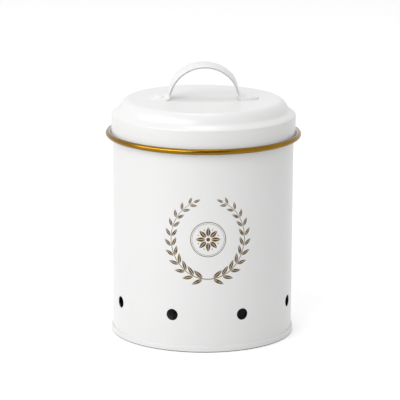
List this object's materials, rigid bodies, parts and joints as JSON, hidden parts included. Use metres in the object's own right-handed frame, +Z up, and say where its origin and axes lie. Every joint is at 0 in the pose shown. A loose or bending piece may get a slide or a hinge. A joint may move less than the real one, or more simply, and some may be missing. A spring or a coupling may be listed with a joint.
{
  "type": "garlic keeper",
  "caption": "Round vented sheet-metal canister with a lift-off lid, a strap handle and a gold-coloured hoop round the lid's lower edge.",
  "frame": {"origin": "centre of the base, on the surface that the tin stands on", "axes": "+Z up along the tin's axis; -Y is the front, midway between two vent holes; the handle's arch lies in the XZ plane"},
  "size_m": [0.13, 0.13, 0.1823],
  "materials": {
    "white_paint": "satin",
    "brass_hoop": "polished"
  },
  "bodies": {
    "canister": {"body_wall": "white_paint", "body_base": "white_paint"},
    "lid": {"lid_shell": "white_paint", "lid_rim_hoop": "brass_hoop", "lid_handle": "white_paint", "handle_rivet_left": "white_paint", "handle_rivet_right": "white_paint"}
  },
  "joints": [
    {"name": "lid_lift", "type": "slide", "parent": "canister", "child": "lid", "axis": [0, 0, 1], "range_m": [0, 0.06]}
  ]
}
